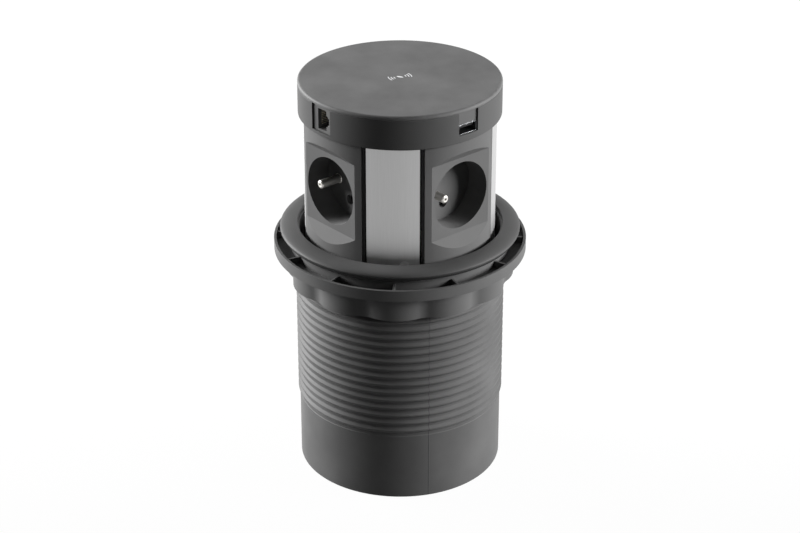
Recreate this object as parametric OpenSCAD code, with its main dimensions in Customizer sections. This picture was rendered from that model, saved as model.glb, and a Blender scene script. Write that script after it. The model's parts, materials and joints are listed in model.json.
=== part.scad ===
// Pop-up desk socket: a round barrel clamped in a desk cut-out, with a sprung
// column that rises out of it and carries four mains sockets, a network jack,
// a USB outlet and a wireless charging top. Millimetres, +Z up.
// The origin is on the barrel's axis, in the plane of its lowest rim.
// Faces are drawn looking along +Y and then turned about the axis.

/* [Barrel] */
// Outer diameter over the ridges
thread_d = 118.4; // [117.6:0.1:120]
// Height of a ridge above the barrel wall
ridge_depth = 1.3; // [0.8:0.1:1.5]
// Distance from one ridge to the next
ridge_pitch = 4.92; // [4:0.02:6]
// Width of a ridge at its crest
ridge_crest = 0.85; // [0.5:0.05:1.2]
// Width of a ridge at its root
ridge_root = 3.4; // [2:0.1:3.8]
// Height of the plain foot of the barrel
plain_foot = 40.6; // [30:0.2:60]
// How far the plain foot stands proud of the wall
foot_step = 0.3; // [0.1:0.1:0.8]
// Height from the foot to the underside of the flange
barrel_h = 144.2; // [138:0.2:165]
// Wall thickness of the barrel below the guide collar
barrel_wall = 2; // [1.8:0.1:2.4]
// Wall thickness of the barrel round the lid
upper_wall = 1.1; // [1:0.1:1.4]
// How far the flange stands out over the ridges
flange_out = 3.8; // [2.8:0.1:6]
// Thickness of the flange
flange_t = 1.8; // [1:0.1:2.4]

/* [Trim ring and gasket] */
// How far the trim ring reaches past the flange
ring_out = 4.7; // [3.5:0.1:8]
// Gap between the lid and the trim ring
ring_gap = 1.2; // [1:0.1:2.4]
// Height of the trim ring above the desk gasket
ring_h = 4.2; // [3.8:0.1:6]
// Height of the ring's blunt outer edge
ring_edge = 1.2; // [0.6:0.1:1.8]
// How far the desk gasket stands back from the ring's edge
gasket_in = 1.3; // [0.6:0.1:3]
// Thickness of the desk gasket
gasket_t = 1.3; // [0.8:0.1:2.5]

/* [Clamp nut] */
// Width of the nut's flange round its bore
nut_out = 11.7; // [10:0.1:16]
// Height of the flange
nut_flange_h = 6.5; // [5:0.1:9]
// Thickness of the rim wall round the flange
nut_rim = 1.5; // [1:0.1:2.5]
// Thickness of the flange floor
nut_floor = 2.5; // [1.5:0.1:3.5]
// Wall thickness of the hub inside the flange
nut_hub_wall = 2.7; // [2:0.1:4]
// How far the hub rises above the flange
nut_hub_rise = 1.5; // [1:0.1:3]
// Height of the lobed grip below the flange
nut_grip_h = 15.5; // [10:0.1:20]
// Number of lobes, and of ribs in the flange
nut_lobes = 12; // [8:1:16]
// Wall thickness of the grip at a lobe
nut_peak_wall = 4.9; // [4:0.1:6]
// Wall thickness of the grip where two lobes meet
nut_valley_wall = 2.1; // [1.6:0.1:2.6]
// Radius of the hollow between two lobes
nut_hollow_r = 12; // [9:0.5:16]
// Thickness of a rib in the flange
nut_rib = 1.2; // [0.8:0.1:2]
// How far the ribs stop below the flange's rim
nut_rib_drop = 0.3; // [0.2:0.1:1]
// Angle of the first lobe
nut_turn = 16.3; // [0:0.1:29]
// Gap between the raised nut and the desk gasket
nut_gap = 2.2; // [2.1:0.1:6]

/* [Column] */
// How far the lid stands out over the column
lid_over = 2.1; // [2:0.1:3]
// Room under the lowered column for the pressed lift spring
spring_room = 19.7; // [17:0.1:30]
// How far the foot reaches below the top of its stop lip
foot_below = 8.9; // [4:0.1:12]
// Thickness of the column's shell
shell_t = 2.8; // [2:0.1:3]
// Height of the foot under the column
foot_h = 16; // [12:0.5:20]
// Thickness of the foot's floor
foot_floor = 3; // [2:0.1:4]
// Thickness of the lip that stops the raised column under its collar
stop_lip = 2.5; // [1.5:0.1:3.5]
// Thickness of the frame's two plates
plate_t = 3; // [2:0.1:4]
// How far the plates stand back from the corner rails
plate_in = 0.5; // [0.3:0.1:1]
// Distance of the screw posts' middle from the column's shell
post_in = 7.8; // [7.4:0.1:9]
// Diameter of the screw posts
post_d = 8.4; // [7:0.1:9]
// Diameter of the cable opening through the frame and the foot
cable_hole_d = 24; // [16:1:30]
// Length of the terminal block
block_len = 28; // [26:0.5:32]
// Width of the terminal block
block_w = 18; // [16:0.5:22]
// Height of the terminal block
block_h = 12; // [10:0.5:16]
// Distance from one terminal to the next
block_pitch = 9; // [7:0.1:9.5]
// Diameter of the terminal block's screw wells
block_well_d = 5; // [4:0.1:6]
// Diameter of the terminal block's wire holes
block_wire_d = 4; // [3:0.1:5]

/* [Mains sockets] */
// How deep the flat socket face lies in the column
facet_in = 4.1; // [3.8:0.1:4.6]
// Height of the flat socket face
facet_h = 44.3; // [42:0.1:46]
// Height of the slope under the flat face
slope_low = 7.2; // [5:0.1:10]
// Height of the slope over the flat face
slope_high = 4.8; // [3:0.1:6]
// Distance from the lid down to the middle of the sockets
socket_drop = 34.3; // [33:0.1:36]
// Diameter of the socket well
well_d = 38.6; // [38:0.1:39.6]
// Taper of the well's diameter down to its floor
well_taper = 0.6; // [0.2:0.1:1]
// Depth of the well
well_depth = 14; // [13:0.1:15]
// Wall round the well, and its floor
well_wall = 2.4; // [2:0.1:2.6]
// Half the angle that a socket front covers
front_half = 26.6; // [26:0.1:28.5]
// Thickness of the lip along a front's sides
front_lip = 0.6; // [0.4:0.1:1]
// Angle that the lip reaches past a front's side
front_lip_turn = 1.2; // [0.8:0.1:1.6]
// Diameter of the earth pin
pin_d = 4.8; // [4.6:0.05:5]
// How far the earth pin stands above the well's floor
pin_len = 13.2; // [12:0.1:14]
// Distance of the earth pin from the well's middle
pin_off = 10; // [9.5:0.1:10.5]
// Diameter of the live holes
hole_d = 5.8; // [5.4:0.1:6.2]
// Distance between the two live holes
hole_pitch = 19; // [18.6:0.1:19.4]

/* [Shutters and contacts] */
// Width of a safety shutter
shutter_w = 7; // [6.8:0.1:7.4]
// Height of a safety shutter
shutter_h = 27; // [26:0.1:28]
// Thickness of a safety shutter
shutter_t = 2; // [1.5:0.1:2.4]
// Travel of a safety shutter
shutter_travel = 6.6; // [6.5:0.05:7]
// Wire diameter of a shutter spring
shutter_wire = 0.4; // [0.3:0.05:0.5]
// Bore of the contact tulips
tulip_bore = 4.7; // [4.5:0.05:4.8]
// Outer diameter of the contact tulips
tulip_d = 6; // [5.6:0.1:6.4]
// Length of the contact tulips
tulip_len = 10; // [8:0.5:11]

/* [Accent strips] */
// Half the angle that an accent strip covers
strip_half = 15.65; // [14.8:0.05:15.8]
// How far an accent strip lies below the column's surface
strip_in = 0.7; // [0.5:0.1:0.9]
// Thickness of an accent strip
strip_t = 1.5; // [1:0.1:1.8]
// Angle from a strip's middle to its screw
strip_screw_turn = 6.8; // [6:0.1:8]
// Distance of the strip screws below the top of the trim ring
strip_screw_drop = 2.5; // [1:0.1:6]
// Head diameter of the strip screws
strip_screw_d = 5.2; // [4.6:0.1:5.6]

/* [Lid] */
// Height of the lid
lid_h = 19.3; // [18.6:0.1:22]
// Thickness of the top plate
top_t = 2.3; // [1.8:0.1:3]
// Radius of the top plate's edge
top_edge = 1.5; // [0.6:0.1:1.7]
// Wall thickness of the lid
lid_wall = 2.4; // [1.8:0.1:2.8]
// Thickness of the lid's floor
lid_floor = 2; // [1.5:0.1:2.5]
// Depth of the seam groove under the top plate
seam = 0.3; // [0.1:0.05:0.5]
// Angle of the charging mark on the top
mark_turn = 74; // [0:1:90]
// Width of the charging mark
mark_w = 13.5; // [8:0.5:20]
// Outer diameter of the charging coil
coil_d = 44; // [36:1:50]
// Gap between the charger board and the ports
board_gap = 4.9; // [4:0.1:8]

/* [Network jack and USB outlet] */
// How far the ports' faces stand back in the lid
port_in = 1.4; // [1.1:0.05:1.7]
// Width of the network jack's window
jack_w = 15.1; // [14.4:0.1:17]
// Depth of the jacks behind their faces
jack_depth = 15; // [14:0.5:17]
// Height of the network opening
net_h = 11.7; // [11.7:0.1:12]
// Width of the network opening
net_w = 6.7; // [6.5:0.1:6.9]
// Width of the metal USB shell
usb_w = 13.1; // [13:0.05:13.2]
// Height of the metal USB shell
usb_h = 5.7; // [5.5:0.05:5.8]
// Thickness of the metal USB shell
usb_t = 0.32; // [0.25:0.01:0.35]

/* [Base] */
// Thickness of the base cap
cap_t = 3; // [2.4:0.1:4]
// How far the base cap is set up into the barrel
cap_recess = 1.2; // [1.2:0.1:2.5]
// Height of the ledge that the cap is screwed to
ledge_h = 4; // [3:0.5:6]
// Width of the ledge
ledge_w = 6.4; // [6:0.1:8]
// Bore of the mains inlet
mains_bore = 8.6; // [7:0.1:10]
// Bore of the data inlet
data_bore = 6.2; // [5:0.1:7]
// Distance of the inlets from the axis
inlet_at = 34; // [32:0.5:36]

/* [Lift spring and latch] */
// Middle diameter of the lift spring
spring_d = 40; // [36:0.5:42]
// Wire diameter of the lift spring
spring_wire = 2; // [1.6:0.1:2.1]
// Turns of the lift spring, its two closed end turns included
spring_turns = 8; // [7:1:8]
// Distance of the latch pin from the axis
latch_at = 38; // [37:0.5:40]
// Height of the latch pin above the base cap
latch_rise = 5.3; // [5:0.1:6]
// Diameter of the latch pin
latch_pin_d = 3; // [2.6:0.1:3.2]
// Diameter of the striker bar
striker_d = 3; // [2.6:0.1:3.2]
// Depth of the striker bar below the column foot
striker_drop = 7.5; // [7:0.1:8]
// Swing of the latch hook from open to closed
hook_swing = 14; // [12:0.5:15]
// Width of the latch hook
hook_w = 7; // [6:0.1:7.6]

/* [Fits] */
// Gap between the column and its guide collar
guide_gap = 0.3; // [0.2:0.05:0.4]
// Gap round the lid in the barrel and round the nut's ridges
slide_gap = 0.5; // [0.35:0.05:0.6]
// Gap between pieces that are only laid together
lay_gap = 0.2; // [0.1:0.05:0.3]
// Gap round a pin or screw in its hole
pin_gap = 0.05; // [0.02:0.01:0.1]
// Diameter of the assembly screws
screw_d = 3; // [2.5:0.1:3.4]

/* [Hidden] */
$fn = 96;
e = 1;
MODULES = 4;

// Radii of the barrel and of what slides in it
crest_r = thread_d / 2;
root_r = crest_r - ridge_depth;
foot_r = root_r + foot_step;
bore_r = root_r - barrel_wall;
wide_r = root_r - upper_wall;
flange_r = crest_r + flange_out;
ring_r = flange_r + ring_out;
lid_r = wide_r - slide_gap;
column_r = lid_r - lid_over;
shell_r = column_r - shell_t;
post_at = shell_r - post_in;

// Heights, from the foot up
cap_top = cap_recess + cap_t;
ring_top = barrel_h + ring_h;
collar_h = 9;
step_z = ring_top - lid_h - collar_h - e;
lip_z = step_z - lay_gap;
column_z = lip_z - foot_below;
travel = column_z - cap_top - spring_room;
lid_z = ring_top - lid_h + travel;
top_z = lid_z + lid_h;
foot_top = column_z + foot_h;
socket_z = lid_z - socket_drop;
lip_r = bore_r - guide_gap;
flange_top = barrel_h + flange_t;
gasket_z = barrel_h - gasket_t;

// Ridges, as many as fit between the plain foot and the gasket
ridge_start = plain_foot + 0.75 * ridge_pitch;
ridge_end = gasket_z - ridge_pitch;
ridge_count = floor((ridge_end - ridge_start) / ridge_pitch) + 1;

// Nut, drawn at the top of its travel
nut_top = gasket_z - nut_gap;
nut_flange_top = nut_top - nut_hub_rise;
nut_flange_z = nut_flange_top - nut_flange_h;
nut_z = nut_flange_z - nut_grip_h;
nut_bore_r = crest_r + 0.6 * slide_gap;
nut_r = nut_bore_r + nut_out;
nut_hub_r = nut_bore_r + nut_hub_wall;
nut_peak_r = nut_bore_r + nut_peak_wall;
nut_valley_r = nut_bore_r + nut_valley_wall;
lobe_step = 360 / nut_lobes;
hollow_at = nut_valley_r + nut_hollow_r;
hollow_x = hollow_at * cos(lobe_step / 2);
lobe_far = nut_peak_r + nut_hollow_r;
lobe_at = (pow(lobe_far, 2) - pow(hollow_at, 2)) / (2 * (lobe_far - hollow_x));
lobe_r = nut_peak_r - lobe_at;
lobe_share = lobe_r / (lobe_r + nut_hollow_r);
grip_r = norm([lobe_at + lobe_share * (hollow_x - lobe_at),
               lobe_share * hollow_at * sin(lobe_step / 2)]);
hollow_ease = 0.8;

// Base cap, its ledge and its screws
cap_r = bore_r - lay_gap;
head_d = 1.9 * screw_d;
cap_screw_at = cap_r - head_d / 2 - 0.5;
screw_hole_d = screw_d + 2 * pin_gap;
cap_screw_len = cap_t + ledge_h - 0.5;
inlet_rim = 1;
inlet_lip = 2;
mains_turn = 90;
data_turn = 180;
latch_turn = 270;

// Frame inside the column
rail_pad_half = strip_half - 1.5;
strip_r = column_r - strip_in;
strip_back_r = strip_r - strip_t;
rail_r = shell_r - 1.5 * lay_gap;
rail_t = 3.6;
frame_z = foot_top;
frame_top = lid_z;
corner_turn = 180 / MODULES;

// Well, its back and what lies behind it
facet_at = column_r - facet_in;
floor_at = facet_at - well_depth;
back_at = floor_at - well_wall - 0.6;
facet_back = facet_at - well_wall;
cup_r = well_d / 2 + well_wall;
rail_half = corner_turn - asin((cup_r + 0.5) / (rail_r - rail_t));
front_top = lid_z - lay_gap;
lip_half = min(front_half + front_lip_turn, corner_turn - strip_half - 0.6);
carrier_half_h = 16.5;
carrier_out = back_at - 1.5 * lay_gap;
slot_gap = 0.3;
slot_at = back_at - shutter_t - 2 * slot_gap;
shutter_spring_r = 0.75;
shutter_turns = 6;
shutter_stop = shutter_w / 2 + shutter_travel + shutter_turns * shutter_wire + 1.5;
carrier_half = shutter_stop + 1.5;
carrier_in = carrier_half + 1.5;

// Pin and contacts
pin_tip_at = floor_at + pin_len;
pin_root_r = pin_d / 2 + 0.5;
pin_back_at = carrier_in + 3;
tulip_out = slot_at - 0.4;
tulip_in = tulip_out - tulip_len;

// Lid and what it holds
plate_z = top_z - top_t;
lid_in_r = lid_r - lid_wall;
lid_floor_top = lid_z + lid_floor;
port_at = lid_r - port_in;
board_r = port_at - jack_depth - board_gap;
lid_hole_d = 30;
boss_d = 7.2;
boss_at = board_r - 4;
boss_top = lid_floor_top + 4;
board_t = 1.6;
coil_t = 1.2;
ferrite_t = 0.8;
mark_t = 0.4;
lid_screw_z = lid_z - plate_t;
lid_screw_len = plate_t + lid_floor + 3;

// Ports, set into windows in the lid
jack_z = lid_floor_top;
jack_top = plate_z - lay_gap;
jack_back_at = port_at - jack_depth;
jack_half = jack_w / 2 - 0.75 * lay_gap;
net_left = -net_w / 2 + 0.1;
net_mid = (jack_z + jack_top) / 2 - 0.3;
net_depth = jack_depth - 1.6;
net_wires = 8;
net_wire_pitch = 1.02;
usb_z = lid_z + 4;
usb_back_at = port_at - jack_depth + 2;
usb_win = usb_w + 2 * lay_gap;
usb_leg = 2;

// Latch
latch_z = cap_top + latch_rise;
latch_ear = 2;
latch_gap = 0.4;
striker_at = latch_at - 5;
striker_z = column_z - striker_drop;
striker_low_z = striker_z - travel;
hook_t = 3;
hook_nose_z = striker_low_z + striker_d / 2 + 0.3;
hook_nose_t = 2.2;

// Spring seats and counts for the swept wires
spring_z = cap_top;
spring_top = column_z;
spring_steps = 24;
wire_sides = 6;
shutter_steps = 12;

// Turns its children from the front to an angle about the axis
module face(turn) {
    rotate([0, 0, turn]) children();
}

// A block in a face's own frame: across, out from the axis, and up
module slab(u0, u1, d0, d1, z0, z1) {
    translate([u0, -d1, z0]) cube([u1 - u0, d1 - d0, z1 - z0]);
}

// A cylinder or cone that points out of a face, from d0 to d1
module radial(d0, d1, r0, r1, u, z) {
    translate([u, -d0, z])
        rotate([90, 0, 0]) cylinder(h = d1 - d0, r1 = r0, r2 = r1);
}

// A ring or tube about the axis
module ring(r_out, r_in, z0, z1) {
    difference() {
        translate([0, 0, z0]) cylinder(h = z1 - z0, r = r_out, $fn = 192);
        translate([0, 0, z0 - e]) cylinder(h = z1 - z0 + 2 * e, r = r_in, $fn = 192);
    }
}

// A flat wedge about the front, from the axis out to a radius
module wedge(half, r) {
    reach = r / cos(half) + e;
    polygon([[0, 0], [-reach * sin(half), -reach * cos(half)],
             [reach * sin(half), -reach * cos(half)]]);
}

// A curved bar about the front
module arc_bar(r_out, r_in, half, z0, z1) {
    translate([0, 0, z0])
        linear_extrude(z1 - z0)
            intersection() {
                difference() {
                    circle(r = r_out, $fn = 192);
                    circle(r = r_in, $fn = 192);
                }
                wedge(half, r_out);
            }
}

// Countersunk screw that points up, with its head's face at z0
module screw_up(at, turn, z0, len) {
    face(turn) translate([0, -at, z0])
        difference() {
            union() {
                cylinder(h = (head_d - screw_d) / 2, d1 = head_d, d2 = screw_d);
                cylinder(h = len, d = screw_d);
            }
            for (a = [0, 90])
                rotate([0, 0, a])
                    translate([-head_d * 0.3, -0.3, -e]) cube([head_d * 0.6, 0.6, e + 0.9]);
        }
}

// Hole for a screw of screw_up, with the same countersink
module screw_hole_up(at, turn, z0, len) {
    face(turn) translate([0, -at, z0]) {
        translate([0, 0, -e]) cylinder(h = e, d = head_d);
        cylinder(h = (head_d - screw_d) / 2, d1 = head_d, d2 = screw_d);
        cylinder(h = len, d = screw_hole_d);
    }
}

// Points of a wire's ring, square to a coil at one angle
function coil_ring(r, wire_r, angle, z) =
    [for (k = [0:wire_sides - 1])
        let (a = 360 * k / wire_sides, out = r + wire_r * cos(a))
        [out * cos(angle), out * sin(angle), z + wire_r * sin(a)]];

// A coiled wire about +Z; rise gives its height from 0 to 1 along its length
module coil(r, wire_r, turns, steps, rises) {
    rings = turns * steps;
    points = [for (i = [0:rings]) each coil_ring(r, wire_r, 360 * i / steps, rises[i])];
    sides = [for (i = [0:rings - 1], k = [0:wire_sides - 1])
        let (a = i * wire_sides + k, b = i * wire_sides + (k + 1) % wire_sides)
        each [[a, a + wire_sides, b], [b, a + wire_sides, b + wire_sides]]];
    first = [for (k = [1:wire_sides - 2]) [0, k, k + 1]];
    last = [for (k = [1:wire_sides - 2])
        [rings * wire_sides, rings * wire_sides + k + 1, rings * wire_sides + k]];
    polyhedron(points = points, faces = concat(sides, first, last));
}

// One ridge's section at height z
function ridge(z) =
    [[root_r, z - ridge_root / 2], [crest_r, z - ridge_crest / 2],
     [crest_r, z + ridge_crest / 2], [root_r, z + ridge_root / 2]];

// Barrel with its ridges, flange, guide step and cap ledge
module housing_tube() {
    outside = concat(
        [[foot_r - 0.6, 0], [foot_r, 0.6], [foot_r, plain_foot - 0.3], [root_r, plain_foot]],
        [for (i = [0:ridge_count - 1]) each ridge(ridge_start + i * ridge_pitch)],
        [[root_r, barrel_h], [flange_r, barrel_h], [flange_r, flange_top]]);
    inside = [[wide_r, flange_top], [wide_r, step_z], [bore_r, step_z],
              [bore_r, cap_top + ledge_h], [bore_r - ledge_w, cap_top + ledge_h],
              [bore_r - ledge_w, cap_top], [bore_r, cap_top], [bore_r, 0]];
    color("#3a3c3e")
    difference() {
        rotate_extrude($fn = 192) polygon(concat(outside, inside));
        for (a = [0:3])
            screw_hole_up(cap_screw_at, corner_turn + 90 * a, cap_recess, cap_screw_len + 0.3);
    }
}

// Crowned ring that covers the flange
module trim_ring() {
    in_r = lid_r + ring_gap;
    lip = 0.7;
    crown_at = in_r + 2 * lip;
    crown_z = barrel_h + ring_edge;
    color("#45474a")
    rotate_extrude($fn = 192)
        polygon(concat(
            [[in_r, flange_top]],
            [for (a = [180:-15:90]) [in_r + lip * (1 + cos(a)), ring_top - lip * (1 - sin(a))]],
            [for (a = [90:-6:0])
                [crown_at + (ring_r - crown_at) * cos(a), crown_z + (ring_top - crown_z) * sin(a)]],
            [[ring_r - ring_edge * 0.7, barrel_h], [flange_r + lay_gap, barrel_h],
             [flange_r + lay_gap, flange_top]]));
}

// Soft gasket between the ring and the desk
module desk_gasket() {
    color("#202122") ring(ring_r - gasket_in, root_r + lay_gap, gasket_z, barrel_h);
}

// Collar that guides the column
module guide_collar() {
    color("#2b2c2e") ring(wide_r - lay_gap, column_r + guide_gap, step_z, step_z + collar_h);
}

// Bottom cap with its inlet holes and spring seat
module base_cap() {
    color("#333537")
    difference() {
        union() {
            translate([0, 0, cap_recess]) cylinder(h = cap_t, r = cap_r, $fn = 192);
            ring(spring_d / 2 - spring_wire, spring_d / 2 - spring_wire - 2.5,
                 cap_top, cap_top + 5);
        }
        for (a = [0:3])
            screw_hole_up(cap_screw_at, corner_turn + 90 * a, cap_recess, cap_t + e);
        face(mains_turn) translate([0, -inlet_at, 0])
            cylinder(h = cap_top + e, r = mains_bore / 2 + inlet_lip);
        face(data_turn) translate([0, -inlet_at, 0])
            cylinder(h = cap_top + e, r = data_bore / 2 + inlet_lip);
    }
}

module base_screws() {
    color("#b8babc")
    for (a = [0:3])
        screw_up(cap_screw_at, corner_turn + 90 * a, cap_recess, cap_screw_len);
}

// Rubber inlet that grips both sides of the base cap
module inlet(bore, turn) {
    r = bore / 2;
    color("#1c1d1e")
    face(turn) translate([0, -inlet_at, 0])
        rotate_extrude()
            polygon([[r, cap_recess - inlet_rim], [r + 2 * inlet_lip, cap_recess - inlet_rim],
                     [r + 2 * inlet_lip, cap_recess], [r + inlet_lip, cap_recess],
                     [r + inlet_lip, cap_top], [r + 2 * inlet_lip, cap_top],
                     [r + 1.6 * inlet_lip, cap_top + inlet_rim], [r, cap_top + inlet_rim]]);
}

module mains_inlet() {
    inlet(mains_bore, mains_turn);
}

module data_inlet() {
    inlet(data_bore, data_turn);
}

// Lift spring with a closed turn at each end
module lift_spring() {
    wire_r = spring_wire / 2;
    rings = spring_turns * spring_steps;
    dead = spring_wire + 0.5;
    low = spring_z + wire_r + 0.1;
    high = spring_top - wire_r - 0.1;
    live = (high - low - 2 * dead) / (spring_turns - 2);
    rises = [for (i = [0:rings])
        let (t = i / spring_steps)
        low + dead * min(t, 1) + live * max(0, min(t - 1, spring_turns - 2))
            + dead * max(0, t - (spring_turns - 1))];
    echo(least_gap = min(dead, live) - spring_wire);
    color("#8d9093") coil(spring_d / 2, wire_r, spring_turns, spring_steps, rises);
}

// Two ears on the base cap that hold the latch pin
module latch_bracket() {
    ear = hook_w / 2 + latch_gap;
    color("#9a9c9e")
    face(latch_turn)
        difference() {
            union() {
                slab(-ear - latch_ear, ear + latch_ear, latch_at - 4, latch_at + 4,
                     cap_top, cap_top + 1.2);
                for (side = [0, 1])
                    mirror([side, 0, 0]) {
                        slab(ear, ear + latch_ear, latch_at - 3, latch_at + 3, cap_top, latch_z);
                        translate([ear, -latch_at, latch_z])
                            rotate([0, 90, 0]) cylinder(h = latch_ear, r = 3);
                    }
            }
            translate([-ear - latch_ear - e, -latch_at, latch_z])
                rotate([0, 90, 0])
                    cylinder(h = 2 * (ear + latch_ear + e), d = latch_pin_d + 2 * pin_gap);
        }
}

module latch_pin() {
    half = hook_w / 2 + latch_gap + latch_ear;
    color("#c2c4c6")
    face(latch_turn) translate([-half - 0.5, -latch_at, latch_z])
        rotate([0, 90, 0]) cylinder(h = 2 * half + 1, d = latch_pin_d);
}

// Hook that catches the striker bar, drawn swung open
module latch_hook() {
    nose_top = hook_nose_z + hook_nose_t;
    nose_in = striker_at - striker_d / 2;
    color("#6f7173")
    face(latch_turn)
        translate([0, -latch_at, latch_z]) rotate([hook_swing, 0, 0])
        translate([0, latch_at, -latch_z])
            difference() {
                union() {
                    translate([-hook_w / 2, -latch_at, latch_z])
                        rotate([0, 90, 0]) cylinder(h = hook_w, r = latch_pin_d / 2 + 1.6);
                    slab(-hook_w / 2, hook_w / 2, latch_at - hook_t / 2, latch_at + hook_t / 2,
                         latch_z, nose_top);
                    slab(-hook_w / 2, hook_w / 2, nose_in, latch_at + hook_t / 2,
                         hook_nose_z, nose_top);
                }
                translate([-hook_w / 2 - e, -latch_at, latch_z])
                    rotate([0, 90, 0])
                        cylinder(h = hook_w + 2 * e, d = latch_pin_d + 2 * pin_gap);
            }
}

// Nut with a lobed grip and a ribbed, hollow flange
module clamp_nut() {
    flange_h = nut_flange_top - nut_flange_z;
    color("#3f4143")
    translate([0, 0, nut_z]) face(nut_turn)
        difference() {
            union() {
                difference() {
                    union() {
                        cylinder(h = nut_grip_h + e, r = grip_r, $fn = 192);
                        for (k = [0:nut_lobes - 1])
                            rotate([0, 0, k * lobe_step]) translate([0, -lobe_at, 0])
                                cylinder(h = nut_grip_h + e, r = lobe_r);
                    }
                    for (k = [0:nut_lobes - 1])
                        rotate([0, 0, (k + 0.5) * lobe_step])
                            translate([0, -hollow_at - hollow_ease, -e])
                                cylinder(h = nut_grip_h + e, r = nut_hollow_r + hollow_ease);
                }
                translate([0, 0, nut_grip_h]) {
                    cylinder(h = nut_top - nut_flange_z, r = nut_hub_r, $fn = 192);
                    cylinder(h = nut_floor, r = nut_r, $fn = 192);
                    ring(nut_r, nut_r - nut_rim, 0, flange_h);
                    for (k = [0:nut_lobes - 1])
                        rotate([0, 0, k * lobe_step])
                            slab(-nut_rib / 2, nut_rib / 2, nut_hub_r - e,
                                 nut_r - nut_rim / 2, nut_floor / 2, flange_h - nut_rib_drop);
                }
            }
            translate([0, 0, -e])
                cylinder(h = nut_top - nut_z + 2 * e, r = nut_bore_r, $fn = 192);
        }
}

// Foot of the column: a skirt, a floor and the lift spring's seat
module column_foot() {
    color("#2f3133")
    difference() {
        union() {
            ring(column_r, shell_r, column_z, foot_top);
            ring(lip_r, shell_r, lip_z - stop_lip, lip_z);
            ring(column_r - e, cable_hole_d / 2, column_z, column_z + foot_floor);
            for (a = [0:3])
                face(corner_turn + 90 * a) translate([0, -post_at, column_z])
                    cylinder(h = foot_h, d = post_d);
        }
        for (a = [0:3])
            screw_hole_up(post_at, corner_turn + 90 * a, column_z, foot_h + e);
        for (turn = [mains_turn, data_turn])
            face(turn) translate([0, -inlet_at, column_z - e])
                cylinder(h = foot_floor + 2 * e, r = mains_bore / 2 + inlet_lip);
    }
}

module foot_screws() {
    color("#b8babc")
    for (a = [0:3])
        screw_up(post_at, corner_turn + 90 * a, column_z, foot_h + plate_t + 4);
}

// Bar under the column foot that the latch hook catches
module striker() {
    half = hook_w / 2 + 1.2;
    ear = 2;
    color("#a7a9ab")
    face(latch_turn) {
        translate([-half - ear, -striker_at, striker_z])
            rotate([0, 90, 0]) cylinder(h = 2 * (half + ear), d = striker_d);
        for (side = [0, 1])
            mirror([side, 0, 0])
                slab(half, half + ear, striker_at - striker_d / 2, striker_at + striker_d / 2,
                     striker_z, column_z);
        slab(-half - ear, half + ear, striker_at - striker_d / 2, striker_at + striker_d / 2,
             column_z - 1.2, column_z);
    }
}

// Plate of the frame, cut flat behind the four socket fronts
module frame_plate(z) {
    flat = facet_back - lay_gap;
    intersection() {
        ring(rail_r - plate_in, cable_hole_d / 2, z, z + plate_t);
        translate([-flat, -flat, z]) cube([2 * flat, 2 * flat, plate_t]);
    }
}

// Spine of the column: two plates, four corner rails and four screw posts
module column_frame() {
    low = frame_z + plate_t / 2;
    high = frame_top - plate_t / 2;
    color("#232425")
    difference() {
        union() {
            frame_plate(frame_z);
            frame_plate(frame_top - plate_t);
            for (a = [0:3])
                face(corner_turn + 90 * a) {
                    arc_bar(rail_r, rail_r - rail_t, rail_half, low, high);
                    arc_bar(strip_back_r, rail_r - e, rail_pad_half, low, high);
                    translate([0, -post_at, low]) cylinder(h = high - low, d = post_d);
                }
        }
        for (a = [0:3]) {
            face(corner_turn + 90 * a) translate([0, -post_at, frame_z - e])
                cylinder(h = plate_t + 5 + e, d = screw_hole_d);
            face(corner_turn + strip_screw_turn + 90 * a)
                radial(rail_r - rail_t - e, strip_r + e, screw_hole_d / 2, screw_hole_d / 2,
                       0, ring_top - strip_screw_drop);
            screw_hole_up(boss_at, corner_turn + 90 * a, lid_screw_z, plate_t + e);
        }
    }
}

// Block that joins the mains lead to the sockets
module terminal_block() {
    color("#d8d4c4")
    translate([0, 0, frame_z + plate_t])
        difference() {
            translate([-block_len / 2, -block_w / 2, 0]) cube([block_len, block_w, block_h]);
            for (i = [-1:1])
                translate([i * block_pitch, 0, block_h / 3]) {
                    cylinder(h = block_h, d = block_well_d);
                    rotate([90, 0, 0])
                        cylinder(h = block_w + 2 * e, d = block_wire_d, center = true);
                }
        }
}

// Curved front of one socket, with its flat face, slopes and well
module socket_front(turn) {
    low = socket_z - facet_h / 2;
    high = socket_z + facet_h / 2;
    run = column_r - facet_at;
    color("#414346")
    face(turn)
        difference() {
            union() {
                translate([0, 0, foot_top])
                    linear_extrude(front_top - foot_top)
                        difference() {
                            union() {
                                intersection() {
                                    circle(r = column_r, $fn = 192);
                                    wedge(front_half, column_r);
                                }
                                intersection() {
                                    circle(r = shell_r + front_lip, $fn = 192);
                                    wedge(lip_half, column_r);
                                }
                            }
                            intersection() {
                                circle(r = shell_r, $fn = 192);
                                translate([-column_r, -facet_back])
                                    square([2 * column_r, 2 * column_r]);
                            }
                        }
                radial(back_at, facet_back + e, cup_r, cup_r, 0, socket_z);
            }
            rotate([90, 0, 90])
                translate([0, 0, -column_r])
                linear_extrude(2 * column_r)
                    polygon([[-facet_at, low], [-facet_at, high],
                             [-facet_at - 2 * run, high + 2 * slope_high],
                             [-facet_at - 2 * run, low - 2 * slope_low]]);
            radial(floor_at, facet_at + e, (well_d - well_taper) / 2, well_d / 2, 0, socket_z);
            for (s = [-1, 1])
                radial(back_at - e, floor_at + e, hole_d / 2, hole_d / 2,
                       0, socket_z + s * hole_pitch / 2);
            radial(back_at - e, floor_at + e, pin_root_r + pin_gap, pin_root_r + pin_gap,
                   -pin_off, socket_z);
        }
}

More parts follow.
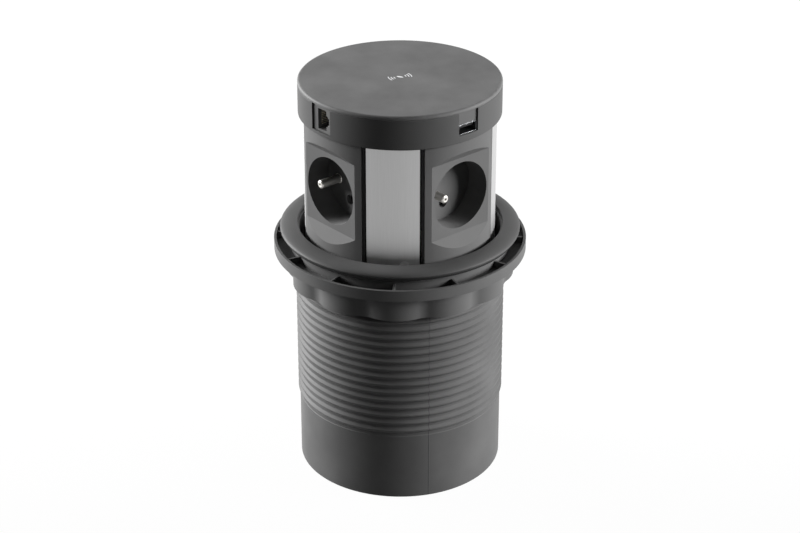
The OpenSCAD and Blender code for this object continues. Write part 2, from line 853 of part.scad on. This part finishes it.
// Earth pin with a thicker root and a small hole in its tip
module earth_pin(turn) {
    tip = 0.7;
    color("#c9cbcd")
    face(turn)
        difference() {
            union() {
                radial(pin_back_at, floor_at, pin_root_r, pin_root_r, -pin_off, socket_z);
                radial(floor_at, pin_tip_at - tip, pin_d / 2, pin_d / 2, -pin_off, socket_z);
                radial(pin_tip_at - tip, pin_tip_at, pin_d / 2, pin_d / 2 - tip,
                       -pin_off, socket_z);
            }
            radial(pin_tip_at - 4, pin_tip_at + e, 0.7, 0.7, -pin_off, socket_z);
        }
}

// Block behind a well that holds the contacts and guides the shutter
module contact_carrier(turn) {
    color("#26272a")
    face(turn)
        difference() {
            slab(-carrier_half, carrier_half, carrier_in, carrier_out,
                 socket_z - carrier_half_h, socket_z + carrier_half_h);
            slab(-shutter_w / 2 - slot_gap, shutter_stop, slot_at, back_at + e,
                 socket_z - shutter_h / 2 - slot_gap, socket_z + shutter_h / 2 + slot_gap);
            for (s = [-1, 1])
                radial(tulip_in, slot_at + e, tulip_d / 2 + pin_gap, tulip_d / 2 + pin_gap,
                       0, socket_z + s * hole_pitch / 2);
            radial(carrier_in - e, back_at + e, pin_root_r + pin_gap, pin_root_r + pin_gap,
                   -pin_off, socket_z);
        }
}

// Two slotted spring contacts behind the live holes
module socket_contacts(turn) {
    color("#c8a24a")
    face(turn)
        for (s = [-1, 1])
            difference() {
                radial(tulip_in, tulip_out, tulip_d / 2, tulip_d / 2,
                       0, socket_z + s * hole_pitch / 2);
                radial(tulip_in + 1.5, tulip_out + e, tulip_bore / 2, tulip_bore / 2,
                       0, socket_z + s * hole_pitch / 2);
                slab(-0.4, 0.4, tulip_in + 4, tulip_out + e,
                     socket_z + s * hole_pitch / 2 - tulip_d, socket_z + s * hole_pitch / 2 + tulip_d);
            }
}

// Plate that closes both live holes until a plug pushes it aside
module shutter(turn) {
    color("#54565a")
    face(turn)
        slab(-shutter_w / 2, shutter_w / 2, slot_at + slot_gap, slot_at + slot_gap + shutter_t,
             socket_z - shutter_h / 2, socket_z + shutter_h / 2);
}

// Small coil that pushes a shutter back
module shutter_spring(turn) {
    wire_r = shutter_wire / 2;
    rings = shutter_turns * shutter_steps;
    low = shutter_w / 2 + wire_r + 0.1;
    high = shutter_stop - wire_r - 0.1;
    rises = [for (i = [0:rings]) low + (high - low) * i / rings];
    color("#a5a8aa")
    face(turn)
        translate([0, -(slot_at + slot_gap + shutter_t / 2), socket_z])
            rotate([0, 90, 0])
                coil(shutter_spring_r, wire_r, shutter_turns, shutter_steps, rises);
}

// Aluminium strip between two socket fronts
module accent_strip(turn) {
    color("#b4b6b8")
    face(turn)
        difference() {
            arc_bar(strip_r, strip_back_r, strip_half, foot_top, front_top);
            face(strip_screw_turn) strip_screw_solid(screw_hole_d, 0);
        }
}

// A strip screw's outline, pointing in at the front
module strip_screw_solid(d, proud) {
    cone = (strip_screw_d - d) / 2;
    at_z = ring_top - strip_screw_drop;
    radial(strip_r - 0.3 - cone, strip_r - 0.3, d / 2, strip_screw_d / 2, 0, at_z);
    radial(strip_r - 0.3, strip_r + (proud > 0 ? 0 : e), strip_screw_d / 2,
           strip_screw_d / 2, 0, at_z);
    radial(rail_r - rail_t + 0.3, strip_r - 0.5, d / 2, d / 2, 0, at_z);
}

module strip_screws() {
    at_z = ring_top - strip_screw_drop;
    color("#a9abad")
    for (a = [0:3])
        face(corner_turn + strip_screw_turn + 90 * a)
            difference() {
                strip_screw_solid(screw_d, 1);
                slab(-strip_screw_d * 0.3, strip_screw_d * 0.3, strip_r - 1, strip_r + e,
                     at_z - 0.3, at_z + 0.3);
                slab(-0.3, 0.3, strip_r - 1, strip_r + e,
                     at_z - strip_screw_d * 0.3, at_z + strip_screw_d * 0.3);
            }
}

// Wall and floor of the lid, with the two port windows
module lid_rim() {
    color("#3a3c3f")
    difference() {
        union() {
            rotate_extrude($fn = 192)
                polygon([[lid_hole_d / 2, lid_z], [lid_r - 0.3, lid_z], [lid_r, lid_z + 0.3],
                         [lid_r, plate_z - seam], [lid_r - seam, plate_z],
                         [lid_in_r, plate_z], [lid_in_r, lid_floor_top],
                         [lid_hole_d / 2, lid_floor_top]]);
            for (a = [0:3])
                face(corner_turn + 90 * a) translate([0, -boss_at, lid_z])
                    cylinder(h = boss_top - lid_z, d = boss_d);
        }
        for (a = [0:3])
            face(corner_turn + 90 * a) translate([0, -boss_at, lid_z - e])
                cylinder(h = lid_screw_len - plate_t + e + 0.3, d = screw_hole_d);
        slab(-jack_w / 2, jack_w / 2, lid_in_r - 3, lid_r + e, lid_floor_top, plate_z + e);
        face(90)
            slab(-usb_win / 2, usb_win / 2, lid_in_r - 3, lid_r + e, usb_z, plate_z + e);
    }
}

module lid_screws() {
    color("#b8babc")
    for (a = [0:3])
        screw_up(boss_at, corner_turn + 90 * a, lid_screw_z, lid_screw_len);
}

// Flat pad of the charging mark: a slanted lens between arcs that widen to each side
module mark_shape() {
    unit = mark_w / 14;
    rotate([0, 0, -50])
        intersection() {
            translate([0, 2.24 * unit]) circle(r = 3.14 * unit);
            translate([0, -2.24 * unit]) circle(r = 3.14 * unit);
        }
    for (side = [-90, 90], i = [0:2])
        rotate([0, 0, side])
            intersection() {
                difference() {
                    circle(r = (3.8 + 1.6 * i) * unit);
                    circle(r = (3.2 + 1.6 * i) * unit);
                }
                wedge(18 + 3 * i, 8 * unit);
            }
}

// Top plate with a rounded edge and a shallow seat for its mark
module top_plate() {
    color("#55575a")
    difference() {
        union() {
            rotate_extrude($fn = 192)
                polygon([[0, plate_z], [lid_r - seam, plate_z], [lid_r, plate_z + seam],
                         [lid_r, top_z - top_edge], [lid_r - top_edge, top_z - top_edge],
                         [lid_r - top_edge, top_z], [0, top_z]]);
            rotate_extrude($fn = 192)
                translate([lid_r - top_edge, top_z - top_edge])
                    intersection() {
                        circle(r = top_edge, $fn = 64);
                        square(top_edge);
                    }
        }
        face(mark_turn) translate([0, 0, top_z - mark_t])
            linear_extrude(mark_t + e) mark_shape();
    }
}

module charge_mark() {
    color("#a9abad")
    face(mark_turn) translate([0, 0, top_z - mark_t]) linear_extrude(mark_t) mark_shape();
}

module charge_coil() {
    color("#b8683a") ring(coil_d / 2, coil_d / 4, plate_z - coil_t, plate_z);
}

module ferrite_disc() {
    color("#3b3a3c")
    translate([0, 0, plate_z - coil_t - ferrite_t])
        cylinder(h = ferrite_t, r = coil_d / 2 + e);
}

// Charger board on the lid's bosses, with its larger parts
module charger_board() {
    color("#1f5a3c")
    difference() {
        union() {
            translate([0, 0, boss_top]) cylinder(h = board_t, r = board_r);
            translate([-9, -20, boss_top + board_t]) cube([18, 10, 2.2]);
            translate([8, 6, boss_top + board_t]) cylinder(h = 3.2, d = 9);
            translate([-20, 4, boss_top + board_t]) cube([8, 8, 1.4]);
        }
        translate([0, 0, boss_top - e]) cylinder(h = board_t + 2 * e, d = 5);
    }
}

// Network jack, turned on its side so that its catch faces right
module network_jack() {
    right = net_left + net_w;
    color("#77797c")
    difference() {
        slab(-jack_half, jack_half, jack_back_at, port_at, jack_z, jack_top);
        slab(net_left, right, port_at - net_depth, port_at + e,
             net_mid - net_h / 2, net_mid + net_h / 2);
        slab(right - e, right + 1.2, port_at - net_depth, port_at + e, net_mid - 3.1, net_mid + 3.1);
        slab(right - e, right + 2.2, port_at - net_depth, port_at + e, net_mid - 2, net_mid + 2);
    }
}

// Eight spring wires that slant in from the jack's left wall
module network_contacts() {
    len = net_depth - 2.4;
    lean = 5;
    color("#d9b968")
    for (i = [0:net_wires - 1])
        translate([net_left + 0.05, -(port_at - 2.2),
                   net_mid + (i - (net_wires - 1) / 2) * net_wire_pitch - 0.2])
            rotate([0, 0, -lean]) cube([0.3, len, 0.4]);
}

module usb_shell() {
    color("#bfc1c3")
    face(90)
        difference() {
            slab(-usb_w / 2, usb_w / 2, usb_back_at, port_at, usb_z, usb_z + usb_h);
            slab(-usb_w / 2 + usb_t, usb_w / 2 - usb_t, usb_back_at - e, port_at + e,
                 usb_z + usb_t, usb_z + usb_h - usb_t);
        }
}

module usb_tongue() {
    top = usb_z + usb_h - usb_t - 0.5;
    color("#2a2b2d")
    face(90)
        slab(-usb_w / 2 + usb_t + 0.7, usb_w / 2 - usb_t - 0.7, usb_back_at, port_at - 1.6,
             top - 1.84, top);
}

// Bezel that closes the window over the USB shell and backs the tongue
module usb_bezel() {
    color("#5a5c5f")
    face(90) {
        slab(-usb_w / 2, usb_w / 2, usb_back_at - usb_leg, port_at, usb_z + usb_h + 0.05, jack_top);
        slab(-usb_w / 2, usb_w / 2, usb_back_at - usb_leg, usb_back_at, lid_floor_top, jack_top);
    }
}

housing_tube();
trim_ring();
desk_gasket();
guide_collar();
base_cap();
base_screws();
mains_inlet();
data_inlet();
lift_spring();
latch_bracket();
latch_pin();
latch_hook();
clamp_nut();
column_foot();
foot_screws();
striker();
column_frame();
terminal_block();
strip_screws();
lid_rim();
lid_screws();
top_plate();
charge_mark();
charge_coil();
ferrite_disc();
charger_board();
network_jack();
network_contacts();
usb_shell();
usb_tongue();
usb_bezel();
for (i = [1:MODULES]) {
    turn = 90 * (i - 1);
    socket_front(turn);
    earth_pin(turn);
    contact_carrier(turn);
    socket_contacts(turn);
    shutter(turn);
    shutter_spring(turn);
    accent_strip(turn + corner_turn);
}
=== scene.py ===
"""Looks of a pop-up desk socket, in metres: rounded forms, finishes, light and camera."""

import json
import math

import bpy
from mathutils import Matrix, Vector


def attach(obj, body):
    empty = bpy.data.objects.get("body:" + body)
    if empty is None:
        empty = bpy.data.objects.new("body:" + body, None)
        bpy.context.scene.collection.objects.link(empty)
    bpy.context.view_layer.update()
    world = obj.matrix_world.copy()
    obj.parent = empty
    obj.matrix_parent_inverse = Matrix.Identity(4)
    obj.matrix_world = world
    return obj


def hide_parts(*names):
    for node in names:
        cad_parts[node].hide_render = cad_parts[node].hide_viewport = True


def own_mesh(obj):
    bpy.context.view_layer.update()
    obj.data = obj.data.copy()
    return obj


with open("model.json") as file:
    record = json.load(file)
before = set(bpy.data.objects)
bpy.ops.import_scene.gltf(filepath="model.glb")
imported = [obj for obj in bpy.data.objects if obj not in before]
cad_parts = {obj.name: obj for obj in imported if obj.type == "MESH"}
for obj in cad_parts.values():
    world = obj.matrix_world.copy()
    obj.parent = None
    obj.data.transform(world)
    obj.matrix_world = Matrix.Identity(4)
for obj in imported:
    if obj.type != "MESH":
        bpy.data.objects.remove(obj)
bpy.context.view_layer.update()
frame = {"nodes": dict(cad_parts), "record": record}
nodes = frame["nodes"]
body_of = {name: body for body, names in frame["record"]["behaviour"]["bodies"].items()
           for name in names}
slot_of = {part["node"]: part["material_slot"] for part in frame["record"]["subparts"]}

MM = 0.001
QUARTERS = (1, 2, 3, 4)  # the column's four equal sides

# Forms
WELD_MM = 0.002  # points nearer than this are joined
FLAT_ANGLE = 0.4  # faces that meet at less than this, in degrees, become one
EDGE_ANGLE = 30  # edges sharper than this are rounded
SLOPE_ANGLE = 15  # the same for the socket fronts, whose slopes meet at flat angles
WIRE_ANGLE = 40  # a spring's wire is shaded smooth up to this angle
BEVEL_RINGS = 3

# Finishes
NOISE_LOW, NOISE_HIGH = 0.3, 0.7  # nearly all of a noise lies between these
NOISE_DETAIL = 3
METAL_DETAIL = 4
CLOUD_LOW, CLOUD_HIGH = 0.2, 0.8  # the light colour's least and greatest share
GLOSS_SWING = 0.03  # how far clouds and grain move a plastic's roughness
PLASTIC_IOR = 1.53
PLASTIC_BUMP, METAL_BUMP, SEAM_BUMP = 0.5, 0.4, 0.6
SEAM_MM, SEAM_DEEP_MM = 0.35, 0.12  # the parting line's half width and height
SEAM_CORE = 0.2  # the part of that half width where the line is at its full strength
SEAM_SHADE = 0.8  # how much of the dark colour the line keeps
MIX_SOCKETS = {"FLOAT": (2, 3, 0), "RGBA": (6, 7, 2)}  # a mix node's two inputs and output

# Studio: distances in metres, turns in degrees
VIEW_TURN = 49.2  # where the camera stands, round from the front socket
EYE_REACH, EYE_HEIGHT, LOOK_HEIGHT = 1.1454, 0.6992, 0.1182
LENS_MM, SENSOR_MM = 101.4, 36
LAMP_REACH, LAMP_HEIGHT, LAMP_WIDE, LAMP_TALL = 1.4, 0.54, 0.9, 0.4
LAMP_AIM = Vector((0, 0, 0.12))
FLOOR_REACH, FLOOR_SIDES = 3, 96
FLOOR_DROP = 0.0002  # the floor lies a hair under the object
FLOOR_WHITE = 1.15  # how bright the floor's card is to the camera
FLOOR_GLOW = 0.85  # the card's share; the rest is paint, which keeps the object's shadow
# Spans from the far side to the camera's side, and the levels at their ends
WALL_SPAN, WALL_LEVELS = (-0.6, 0.2), (0.45, 0.06)  # the walls, as they light the object
GLOSS_SPAN, GLOSS_LEVELS = (-0.8, 0.0), (1.0, 0.05)  # the walls, as gloss mirrors them
CARD_SPAN, CARD_LEVELS = (-0.03, 0.13), (1.0, 0.98)  # the floor, as gloss mirrors it
PAINT_SPAN, PAINT_LEVELS = (-0.1, 0.1), (0.2, 0.04)  # the floor's colour in matt light


# --- modelling helpers ---


def close():
    """Leaves edit mode and deselects everything."""
    if bpy.context.mode != "OBJECT":
        bpy.ops.object.mode_set(mode="OBJECT")
    bpy.ops.object.select_all(action="DESELECT")


def pick(piece):
    """Makes one piece the only selected and active one."""
    close()
    bpy.context.view_layer.objects.active = piece
    piece.select_set(True)


def edit(piece):
    """Opens one piece in edit mode with all of it selected."""
    pick(piece)
    bpy.ops.object.mode_set(mode="EDIT")
    bpy.ops.mesh.select_all(action="SELECT")


def rounded(piece, width_mm, angle):
    """Rounds the edges that are sharper than an angle with an applied bevel."""
    pick(piece)
    soft = piece.modifiers.new("rounding", "BEVEL")
    soft.width = width_mm * MM
    soft.segments = BEVEL_RINGS
    soft.limit_method = "ANGLE"
    soft.angle_limit = math.radians(angle)
    bpy.ops.object.modifier_apply(modifier=soft.name)


def smoothed(piece, angle, weighted=False):
    """Smooths a piece's shading up to an angle, with flat faces kept flat if weighted."""
    pick(piece)
    bpy.ops.object.shade_smooth_by_angle(angle=math.radians(angle))
    if weighted:
        even = piece.modifiers.new("even shading", "WEIGHTED_NORMAL")
        even.keep_sharp = True
        bpy.ops.object.modifier_apply(modifier=even.name)
    close()


def stands_for(piece, node):
    """Hides a CAD node behind a piece that rides on the same body."""
    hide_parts(node)
    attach(piece, body_of[node])
    return piece


def copied(node):
    """A CAD node's form as a new piece with its points joined."""
    piece = bpy.data.objects.new(node + "_form", nodes[node].data.copy())
    bpy.context.scene.collection.objects.link(piece)
    pick(piece)
    bpy.ops.mesh.customdata_custom_splitnormals_clear()
    edit(piece)
    bpy.ops.mesh.remove_doubles(threshold=WELD_MM * MM)
    close()
    return piece


def eased(node, width_mm, angle):
    """A CAD node's form with its edges rounded."""
    piece = copied(node)
    edit(piece)
    bpy.ops.mesh.dissolve_limited(angle_limit=math.radians(FLAT_ANGLE))
    rounded(piece, width_mm, angle)
    smoothed(piece, angle, weighted=True)
    return stands_for(piece, node)


# --- material helpers ---


def linear(hex_colour):
    """An sRGB hex colour as linear red, green, blue and alpha."""
    parts = [int(hex_colour[i:i + 2], 16) / 255 for i in (1, 3, 5)]
    return [c / 12.92 if c <= 0.04045 else ((c + 0.055) / 1.055) ** 2.4 for c in parts] + [1.0]


def add(tree, kind, inputs=None, **settings):
    """Adds a node with its settings; each input is a value or another node's output."""
    made = tree.nodes.new(kind)
    for name, value in settings.items():
        setattr(made, name, value)
    for name, value in (inputs or {}).items():
        if isinstance(value, bpy.types.NodeSocket):
            tree.links.new(value, made.inputs[name])
        else:
            made.inputs[name].default_value = value
    return made


def new_material(name):
    """An empty material with its tree and the object's own coordinates."""
    material = bpy.data.materials.new(name)
    material.use_nodes = True
    material.node_tree.nodes.clear()
    tree = material.node_tree
    return material, tree, add(tree, "ShaderNodeTexCoord").outputs["Object"]


def surface(tree, shader):
    """Joins a shader to the material's surface."""
    add(tree, "ShaderNodeOutputMaterial", {"Surface": shader.outputs[0]})


def combined(tree, operation, *values):
    """The result of a math node on one or two numbers."""
    return add(tree, "ShaderNodeMath", dict(enumerate(values)), operation=operation).outputs[0]


def blended(tree, share, low, high, kind="FLOAT"):
    """A number or, with kind RGBA, a colour between two others."""
    first, second, result = MIX_SOCKETS[kind]
    made = add(tree, "ShaderNodeMix", {"Factor": share, first: low, second: high}, data_type=kind)
    return made.outputs[result]


def along(tree, place, way):
    """How far a place lies along a direction."""
    return add(tree, "ShaderNodeVectorMath", {0: place, 1: way},
               operation="DOT_PRODUCT").outputs["Value"]


def graded(tree, value, span, levels):
    """Goes from one level to another while a value goes over a span."""
    return add(tree, "ShaderNodeMapRange", {
        "Value": value, "From Min": span[0], "From Max": span[1],
        "To Min": levels[0], "To Max": levels[1]}).outputs["Result"]


def speckle(tree, place, size_mm, detail, stretch=(1, 1, 1)):
    """Noise whose spots are about size_mm across, stretched along an axis where wanted."""
    fitted = add(tree, "ShaderNodeMapping", {"Vector": place, "Scale": stretch}).outputs[0]
    noise = add(tree, "ShaderNodeTexNoise",
                {"Vector": fitted, "Scale": 1 / (size_mm * MM), "Detail": detail})
    return noise.outputs["Fac"]


def ranged(tree, noise, low, high):
    """Maps noise to a range."""
    return graded(tree, noise, (NOISE_LOW, NOISE_HIGH), (low, high))


def seam_line(tree, place, turn):
    """1 on the upright plane through the axis at an angle round it, 0 beside it."""
    a = math.radians(turn)
    off = combined(tree, "ABSOLUTE", along(tree, place, (math.cos(a), math.sin(a), 0)))
    return graded(tree, off, (SEAM_CORE * SEAM_MM * MM, SEAM_MM * MM), (1, 0))


def moulded_plastic(name, dark, light, rough, grain_mm=0.55, deep_mm=0.012, cloud_mm=28,
                    shine=0.3, seam=None):
    """A moulded surface: the mould's fine, even grain spreads the highlights, and faint clouds
    of colour and gloss show where the melt flowed. With seam, an angle, a hair-fine upright
    line shows where the mould's halves met. The real grain is about 0.1 mm; it is drawn
    coarser so that it shows."""
    material, tree, place = new_material(name)
    cloud = speckle(tree, place, cloud_mm, NOISE_DETAIL)
    grain = speckle(tree, place, grain_mm, NOISE_DETAIL)
    tint = blended(tree, ranged(tree, cloud, CLOUD_LOW, CLOUD_HIGH), linear(dark),
                   linear(light), "RGBA")
    gloss = combined(tree, "ADD", ranged(tree, cloud, rough - GLOSS_SWING, rough + GLOSS_SWING),
                     ranged(tree, grain, -GLOSS_SWING, GLOSS_SWING))
    bump = add(tree, "ShaderNodeBump", {"Height": grain, "Strength": PLASTIC_BUMP,
                                        "Distance": deep_mm * MM})
    if seam is not None:
        line = seam_line(tree, place, seam)
        bump = add(tree, "ShaderNodeBump", {
            "Height": line, "Strength": SEAM_BUMP, "Distance": SEAM_DEEP_MM * MM,
            "Normal": bump.outputs[0]})
        shade = [SEAM_SHADE * c for c in linear(dark)[:3]] + [1]
        tint = blended(tree, line, tint, shade, "RGBA")
    surface(tree, add(tree, "ShaderNodeBsdfPrincipled", {
        "Base Color": tint, "Roughness": gloss, "IOR": PLASTIC_IOR,
        "Specular IOR Level": shine, "Normal": bump.outputs[0]}))
    return material


def metal(name, dark, light, rough, grain_mm, stretch=(1, 1, 1), deep_mm=0.004, swing=0.06):
    """A worked metal: its grain is noise drawn out along the way the tool ran."""
    material, tree, place = new_material(name)
    grain = speckle(tree, place, grain_mm, METAL_DETAIL, stretch)
    tint = blended(tree, ranged(tree, grain, 0, 1), linear(dark), linear(light), "RGBA")
    bump = add(tree, "ShaderNodeBump", {"Height": grain, "Strength": METAL_BUMP,
                                        "Distance": deep_mm * MM})
    surface(tree, add(tree, "ShaderNodeBsdfPrincipled", {
        "Base Color": tint, "Metallic": 1.0,
        "Roughness": ranged(tree, grain, rough - swing, rough + swing),
        "Normal": bump.outputs[0]}))
    return material


# --- finishes, by the record's material slots ---

slot_finish = {
    # Injection-moulded ABS from a spark-eroded mould, anthracite: the nut
    "shell_plastic": moulded_plastic(
        "anthracite_abs_shell", "#5d5d5d", "#6a6a6a", rough=0.55, shine=0.14),
    # Anthracite polycarbonate with a fine matt grain: the socket fronts
    "front_plastic": moulded_plastic(
        "anthracite_polycarbonate_front", "#636363", "#6d6d6d", rough=0.6, shine=0.07),
    # Anthracite ABS with a coarser, cloudy grain: the top plate
    "top_plastic": moulded_plastic(
        "anthracite_abs_top", "#575757", "#757575", rough=0.58, grain_mm=0.8, deep_mm=0.02,
        cloud_mm=22, shine=0.2),
    # Black ABS: collar, cap, the column's foot and frame, carriers, shutters and USB tongue
    "inner_plastic": moulded_plastic("black_abs_inner", "#111111", "#161616", rough=0.55),
    # Dark grey ABS with a very fine grain: the bodies of the outlets
    "port_plastic": moulded_plastic(
        "grey_abs_ports", "#606060", "#686868", rough=0.5, grain_mm=0.4, deep_mm=0.006,
        cloud_mm=9, shine=0.14),
    # Printed light grey ink, slightly uneven
    "mark_ink": moulded_plastic(
        "pale_ink_mark", "#e2e3e4", "#ededee", rough=0.5, grain_mm=0.3, deep_mm=0.004,
        cloud_mm=3),
    # EPDM rubber: soft black with a dusty bloom
    "seal_rubber": moulded_plastic(
        "black_epdm_seal", "#101011", "#191919", rough=0.7, grain_mm=0.5, deep_mm=0.01,
        cloud_mm=12),
    # Urea thermoset: cream, glossy and even
    "block_cream": moulded_plastic(
        "cream_thermoset_block", "#cfc6ae", "#dad2bc", rough=0.35, grain_mm=0.6, deep_mm=0.004,
        cloud_mm=8),
    # Glass-fibre board under green solder mask
    "board_green": moulded_plastic(
        "green_solder_mask_board", "#0d4a2b", "#155c37", rough=0.3, grain_mm=0.8, deep_mm=0.006,
        cloud_mm=6),
    # Sintered ferrite: a dark grey, slightly rough ceramic
    "ferrite": moulded_plastic(
        "sintered_ferrite", "#262526", "#313031", rough=0.6, grain_mm=0.5, deep_mm=0.01,
        cloud_mm=6),
    # Anodised aluminium brushed along the strip's length: fine upright lines
    "strip_metal": metal(
        "brushed_anodised_aluminium", "#bcbcbc", "#c4c4c4", rough=0.5, grain_mm=0.35,
        stretch=(1, 1, 0.02), deep_mm=0.002, swing=0.03),
    # Zinc-plated steel: screws, the latch with its pin, bracket and striker, the USB shell
    "screw_steel": metal("zinc_plated_steel", "#8f9194", "#a6a8aa", rough=0.34, grain_mm=0.5),
    # Turned brass under satin nickel
    "pin_nickel": metal(
        "turned_nickel_plated_brass", "#d2d0cb", "#dfddd8", rough=0.48, grain_mm=0.3),
    # Pressed brass sheet
    "contact_brass": metal("pressed_brass", "#b08d45", "#c9a55a", rough=0.3, grain_mm=0.6),
    # Drawn spring steel wire
    "spring_steel": metal("drawn_spring_steel", "#6d7074", "#85888c", rough=0.3, grain_mm=0.5),
    # Copper wire under clear lacquer
    "coil_copper": metal("lacquered_copper", "#9a4f2c", "#b4643a", rough=0.3, grain_mm=0.4),
}

# Nodes that differ a little from the rest of their slot
own_finish = {
    # Anthracite ABS with a parting line
    "housing_tube": moulded_plastic(
        "anthracite_abs_barrel", "#585858", "#6e6e6e", rough=0.55, cloud_mm=30, shine=0.14,
        seam=65.4),
    # Anthracite ABS, darker than the shell: painted shade, standing in for the shade that falls
    # on the ring's front
    "trim_ring": moulded_plastic(
        "anthracite_abs_trim_ring_painted_shade", "#4c4c4c", "#565656", rough=0.55, shine=0.14),
    # Anthracite polycarbonate, dull and darker than the fronts: the darker colour is painted
    # shade, standing in for the shade on the lid's front
    "lid_rim": moulded_plastic(
        "anthracite_polycarbonate_lid_painted_shade", "#575757", "#5f5f5f", rough=0.5, shine=0.05),
    # Zinc on the heads of the screws in the aluminium, paler than the other zinc: painted light,
    # so that the half-hidden heads look lit
    "strip_screws": metal(
        "zinc_screw_heads_painted_light", "#d1d1d1", "#dddddd", rough=0.55, grain_mm=0.4),
    # Gold flash over nickel on drawn wire
    "network_contacts": metal(
        "gold_flashed_wire", "#e6dfc9", "#efe8d4", rough=0.55, grain_mm=0.2),
}

finish_of = {name: own_finish.get(name, slot_finish[slot]) for name, slot in slot_of.items()}
for name, node in nodes.items():
    for holder in node.material_slots:
        holder.material = finish_of[name]


def dress(piece, node):
    """Gives a piece the finish of the node that it stands for."""
    piece.data.materials.clear()
    piece.data.materials.append(finish_of[node])


# --- pieces ---

# How wide each node's edges are rounded
edge_mm = {"housing_tube": 0.12, "trim_ring": 0.5, "desk_gasket": 0.3, "clamp_nut": 0.4,
           "base_cap": 0.4, "lid_rim": 0.25, "top_plate": 0.3, "network_jack": 0.2,
           "network_contacts": 0.08, "usb_bezel": 0.25, "usb_shell": 0.1, "usb_tongue": 0.15,
           "column_foot": 0.4}
for i in QUARTERS:
    edge_mm[f"socket_front_{i}"] = 0.3
    edge_mm[f"accent_strip_{i}"] = 0.25
    edge_mm[f"earth_pin_{i}"] = 0.25
for node, width_mm in edge_mm.items():
    angle = SLOPE_ANGLE if node.startswith("socket_front") else EDGE_ANGLE
    dress(eased(node, width_mm, angle), node)


def closing_spring(node):
    """A coil spring with smooth shading that rides on the body of the node it stands for, with a
    mesh of its own.
    """
    piece = copied(node)
    smoothed(piece, WIRE_ANGLE)
    dress(stands_for(piece, node), node)
    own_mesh(piece)


closing_spring("lift_spring")
for i in QUARTERS:
    closing_spring(f"shutter_spring_{i}")


# --- lamps ---


def toward(turn, reach, height):
    """A point at an angle round from the camera, a reach away and at a height."""
    a = math.radians(VIEW_TURN) + math.radians(turn)
    return Vector((math.sin(a) * reach, -math.cos(a) * reach, height))


def lamp(name, turn, watts):
    """A soft box that faces the object."""
    place = toward(turn, LAMP_REACH, LAMP_HEIGHT)
    close()
    bpy.ops.object.light_add(type="AREA", location=place)
    light = bpy.context.object
    light.name = name
    light.rotation_euler = (LAMP_AIM - place).to_track_quat("-Z", "Y").to_euler()
    light.data.shape = "RECTANGLE"
    light.data.size = LAMP_WIDE
    light.data.size_y = LAMP_TALL
    light.data.energy = watts


lamp("soft_box_left", turn=-112, watts=50)
lamp("soft_box_right", turn=86, watts=36)


# --- walls and floor ---


def rays(tree):
    """The share of straight rays, and that of rays off gloss or through clear pieces."""
    path = add(tree, "ShaderNodeLightPath").outputs
    return path["Is Camera Ray"], combined(tree, "MAXIMUM", path["Is Glossy Ray"],
                                           path["Is Transmission Ray"])


def by_side(tree, place, span, levels):
    """Goes from one level on the studio's far side to another on the camera's side."""
    return graded(tree, along(tree, place, toward(0, 1, 0)), span, levels)


def studio_walls():
    """Walls that are white to the camera; to the object they darken toward the camera's side."""
    world = bpy.data.worlds.new("white_studio")
    bpy.context.scene.world = world
    world.use_nodes = True
    tree = world.node_tree
    tree.nodes.clear()
    straight, bounced = rays(tree)
    way = add(tree, "ShaderNodeTexCoord").outputs["Generated"]
    diffuse = by_side(tree, way, WALL_SPAN, WALL_LEVELS)
    mirrored = by_side(tree, way, GLOSS_SPAN, GLOSS_LEVELS)
    level = blended(tree, straight, blended(tree, bounced, diffuse, mirrored), 1.0)
    sky = add(tree, "ShaderNodeBackground", {"Color": (1, 1, 1, 1), "Strength": level})
    add(tree, "ShaderNodeOutputWorld", {"Surface": sky.outputs[0]})


def pale_floor():
    """A floor that is a white card to the camera and in gloss, and grey paint to the rest."""
    close()
    bpy.ops.mesh.primitive_circle_add(vertices=FLOOR_SIDES, radius=FLOOR_REACH, fill_type="NGON",
                                      location=(0, 0, -FLOOR_DROP))
    floor = bpy.context.object
    floor.name = "pale_floor"
    paint, tree, place = new_material("white_floor_paint")
    straight, bounced = rays(tree)
    card = by_side(tree, place, CARD_SPAN, CARD_LEVELS)
    matt = add(tree, "ShaderNodeBsdfDiffuse",
               {"Color": by_side(tree, place, PAINT_SPAN, PAINT_LEVELS)})
    glow = add(tree, "ShaderNodeEmission",
               {"Color": (1, 1, 1, 1), "Strength": blended(tree, straight, card, FLOOR_WHITE)})
    share = combined(tree, "MULTIPLY", combined(tree, "MAXIMUM", straight, bounced), FLOOR_GLOW)
    surface(tree, add(tree, "ShaderNodeMixShader",
                      {0: share, 1: matt.outputs[0], 2: glow.outputs[0]}))
    floor.data.materials.append(paint)


studio_walls()
pale_floor()


# --- camera ---

eye = toward(0, EYE_REACH, EYE_HEIGHT)
close()
bpy.ops.object.camera_add(location=eye)
camera = bpy.context.object
camera.rotation_euler = (Vector((0, 0, LOOK_HEIGHT)) - eye).to_track_quat("-Z", "Y").to_euler()
camera.data.lens = LENS_MM
camera.data.sensor_width = SENSOR_MM
bpy.context.scene.camera = camera
bpy.context.scene.view_settings.view_transform = "Standard"
